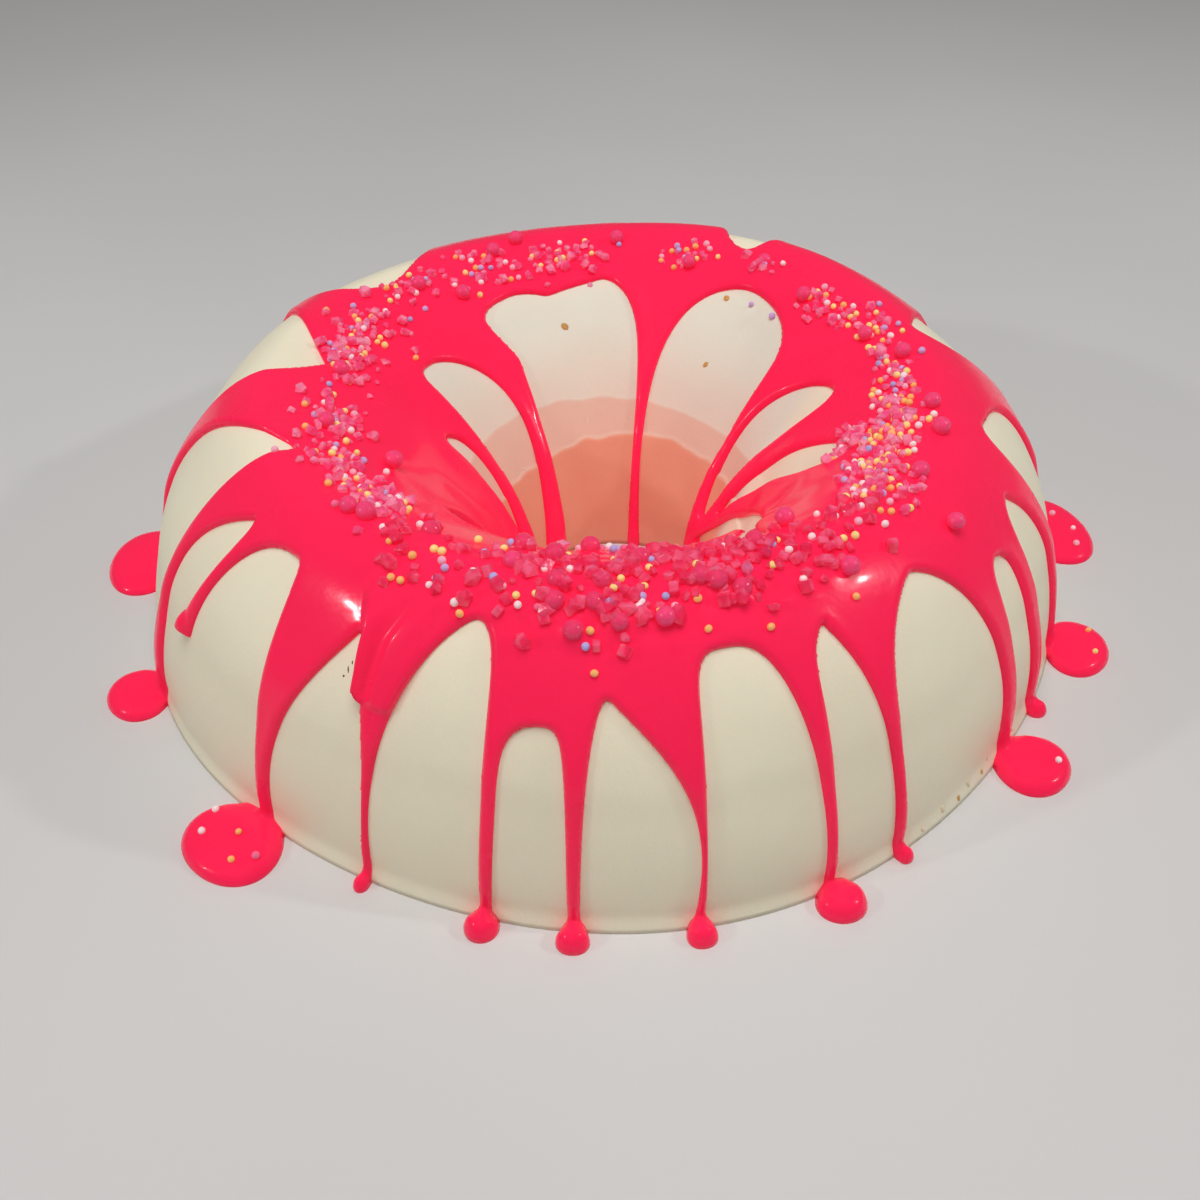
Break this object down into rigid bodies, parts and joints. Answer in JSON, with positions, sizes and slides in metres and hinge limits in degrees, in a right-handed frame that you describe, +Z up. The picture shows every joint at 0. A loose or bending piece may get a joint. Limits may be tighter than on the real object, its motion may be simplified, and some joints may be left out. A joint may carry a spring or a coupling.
{
  "type": "ring ice cream cake",
  "caption": "Ring-shaped ice cream cake in smooth pale frosting, with a glossy poured glaze that drips down its wall and into its open middle.",
  "frame": {"origin": "on the surface under the cake, at the middle of the bounding box of the cake and its pools of glaze", "axes": "+Z up; -Y towards the front, the side with the even row of thin drips; +X to the right seen from the front"},
  "size_m": [0.289, 0.2592, 0.0704],
  "materials": {
    "frosting": "smooth, satin, slightly moist cream",
    "glaze": "wet, high gloss, slightly see-through syrup"
  },
  "bodies": {
    "root": {"frosted_ring_cake": "frosting", "poured_glaze": "glaze"}
  },
  "joints": []
}
